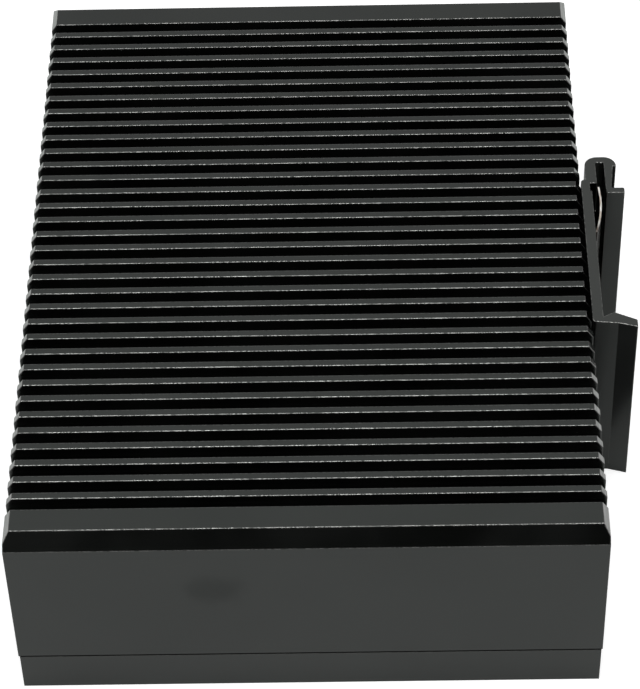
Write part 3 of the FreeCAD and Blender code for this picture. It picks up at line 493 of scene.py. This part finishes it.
LEAF_LENGTH = 6.0 * MM
LEAF_WIDTH = 2.6 * MM
LEAF_BULGE = 0.55 * MM
LEAF_THICK = 0.16 * MM
LEAF_FROM_MOUTH = 0.8 * MM
LEAF_RADIUS = (LEAF_LENGTH ** 2 / 4 + LEAF_BULGE ** 2) / (2 * LEAF_BULGE)
LEAF_TUBE_SIDES = 160
sockets = {room["name"]: room["box_m"] for room in frame["record"]["physics"]["openings"]}

# Two bowed leaves in each socket touch the sides of a shielded plug. Each is a slice of a thin tube,
# and the first socket's pair is copied into the others.
low_corner, high_corner = [Vector(corner) for corner in sockets["port_1_socket"]]
leaf_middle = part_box("port_1_shield")[0].x + LEAF_FROM_MOUTH + LEAF_LENGTH / 2
leaf_level = (low_corner.z + high_corner.z) / 2
leaves = []
for wall, inward in ((low_corner.y, 1), (high_corner.y, -1)):
    axis = (leaf_middle, wall - inward * (LEAF_RADIUS - LEAF_BULGE), leaf_level)
    leaf = bare_primitive(bpy.ops.mesh.primitive_cylinder_add, vertices=LEAF_TUBE_SIDES, radius=LEAF_RADIUS,
                          depth=LEAF_WIDTH, end_fill_type="NOTHING", location=axis)
    cut_off((leaf_middle, wall, 0), (0, inward, 0), False)
    bpy.ops.object.mode_set(mode="OBJECT")
    sheet = leaf.modifiers.new("sheet", "SOLIDIFY")
    sheet.thickness = LEAF_THICK
    sheet.offset = 1.0
    bpy.ops.object.modifier_apply(modifier=sheet.name)
    bpy.ops.object.shade_smooth_by_angle(angle=math.radians(30))
    leaves.append(leaf)
leaves[0].select_set(True)
bpy.ops.object.join()
first_pair = bpy.context.object
finished(first_pair, "port_1_side_springs", shield_metal)
for n in port_numbers[1:]:
    pair = first_pair.copy()
    pair.data = first_pair.data.copy()
    pair.data.transform(Matrix.Translation(Vector(sockets["port_%d_socket" % n][0]) - low_corner))
    bpy.context.scene.collection.objects.link(pair)
    finished(pair, "port_%d_side_springs" % n, shield_metal)

# ---- Power header and lamps ----
# A green moulded header with four tinned pins, soldered beside the sockets, and two moulded light
# guides in a holder of their own.

give(mottled("green_moulding", dark=(0.01, 0.14, 0.05, 1), light=(0.015, 0.19, 0.07, 1),
             spacing=0.3 * MM, roughness=0.4), "power_header")
give(mottled("tinned_pin", dark=(0.62, 0.62, 0.6, 1), light=(0.74, 0.74, 0.72, 1),
             spacing=0.7 * MM, roughness=0.25, metallic=1.0), *["power_pin_%d" % n for n in range(1, 5)])
give(mottled("green_lens", dark=(0.06, 0.30, 0.06, 1), light=(0.08, 0.38, 0.09, 1),
             spacing=1.0 * MM, roughness=0.2), "power_lamp")
give(mottled("red_lens", dark=(0.36, 0.02, 0.015, 1), light=(0.46, 0.03, 0.02, 1),
             spacing=1.0 * MM, roughness=0.2), "fault_lamp")

# ---- Studio ----
# A white table in a white room, one soft lamp overhead, the camera, and a black card round it. None
# of it is part of the object.

WHITE = (1.0, 1.0, 1.0, 1)
TABLE_PAINT = (0.8, 0.8, 0.8, 1)
TABLE_SIZE = 6.0
TABLE_GLOW = 0.6
TABLE_MIRRORED = 0.12
ROOM_MIRRORED_LOW = 0.6
ROOM_MIRRORED_HIGH = 1.05
ROOM_LIGHT = 0.35

scene = bpy.context.scene
scene.view_settings.view_transform = "Standard"

bpy.ops.object.select_all(action="DESELECT")
bpy.ops.mesh.primitive_plane_add(size=TABLE_SIZE, location=(0, 0, cad_low.z))
table = bpy.context.object
table.name = "studio_table"
table_paint = bpy.data.materials.new("table_white")
table_paint.use_nodes = True
tree = table_paint.node_tree
for item in list(tree.nodes):
    tree.nodes.remove(item)
paint = tree.nodes.new("ShaderNodeBsdfDiffuse")
paint.inputs["Color"].default_value = TABLE_PAINT
glow = tree.nodes.new("ShaderNodeEmission")
glow.inputs["Color"].default_value = WHITE
seen = tree.nodes.new("ShaderNodeLightPath")
mirrored = maths(tree, "MAXIMUM", seen.outputs["Is Glossy Ray"], seen.outputs["Is Transmission Ray"])
wire(tree, maths(tree, "ADD", maths(tree, "MULTIPLY", seen.outputs["Is Camera Ray"], TABLE_GLOW),
                 maths(tree, "MULTIPLY", mirrored, TABLE_MIRRORED)), glow.inputs["Strength"])
both = tree.nodes.new("ShaderNodeAddShader")
wire(tree, paint.outputs["BSDF"], both.inputs[0])
wire(tree, glow.outputs["Emission"], both.inputs[1])
finish = tree.nodes.new("ShaderNodeOutputMaterial")
wire(tree, both.outputs["Shader"], finish.inputs["Surface"])
table.data.materials.append(table_paint)

# The room is white to the eye, and metal sees it grow lighter towards its ceiling.
world = bpy.data.worlds.new("white_room")
scene.world = world
world.use_nodes = True
tree = world.node_tree
room = tree.nodes["Background"]
room.inputs["Color"].default_value = WHITE
seen = tree.nodes.new("ShaderNodeLightPath")
mirrored = maths(tree, "MAXIMUM", seen.outputs["Is Glossy Ray"], seen.outputs["Is Transmission Ray"])
walls = ramp(tree, axes_of(tree, "Generated")["Z"], 0.5, 0.85, ROOM_MIRRORED_LOW, ROOM_MIRRORED_HIGH)
direct = maths(tree, "ADD", seen.outputs["Is Camera Ray"], maths(tree, "MULTIPLY", mirrored, walls))
indirect = maths(tree, "SUBTRACT", 1.0, maths(tree, "MAXIMUM", seen.outputs["Is Camera Ray"], mirrored))
wire(tree, maths(tree, "ADD", direct, maths(tree, "MULTIPLY", indirect, ROOM_LIGHT)), room.inputs["Strength"])

LAMP_PLACE = Vector((0.0, -0.16, 0.9))
overhead = bpy.data.lights.new("overhead_lamp", "AREA")
overhead.shape = "RECTANGLE"
overhead.size = 0.8
overhead.size_y = 0.45
overhead.energy = 5.5
lamp = bpy.data.objects.new("overhead_lamp", overhead)
lamp.location = LAMP_PLACE
lamp.rotation_euler = (-LAMP_PLACE).to_track_quat("-Z", "Y").to_euler()
scene.collection.objects.link(lamp)

CAMERA_PLACE = (9.73 * MM, -345.03 * MM, 378.56 * MM)
CAMERA_TURN = (43.238, 1.232, 0.038)
camera_data = bpy.data.cameras.new("camera")
camera_data.sensor_width = 36.0
camera_data.lens = 152.19
camera = bpy.data.objects.new("camera", camera_data)
camera.location = CAMERA_PLACE
camera.rotation_euler = Euler([math.radians(angle) for angle in CAMERA_TURN])
scene.collection.objects.link(camera)
scene.camera = camera

# A black card round the camera: the room is dark on that side, and the long chamfer shows it.
CARD_BLACK = (0.002, 0.002, 0.002, 1)
bpy.ops.object.select_all(action="DESELECT")
bpy.ops.mesh.primitive_plane_add(size=1.0, location=(0, -0.5, 0.55), rotation=(math.radians(45), 0, 0))
card = bpy.context.object
card.name = "black_card"
card.scale = (1.0, 0.5, 1)
bpy.ops.object.transform_apply(location=True, rotation=True, scale=True)
card_paint = bpy.data.materials.new("card_black")
card_paint.use_nodes = True
shader = card_paint.node_tree.nodes["Principled BSDF"]
shader.inputs["Base Color"].default_value = CARD_BLACK
shader.inputs["Roughness"].default_value = 1.0
shader.inputs["Specular IOR Level"].default_value = 0.0
card.data.materials.append(card_paint)
card.visible_camera = False
card.visible_diffuse = False
card.visible_shadow = False

bpy.context.view_layer.update()
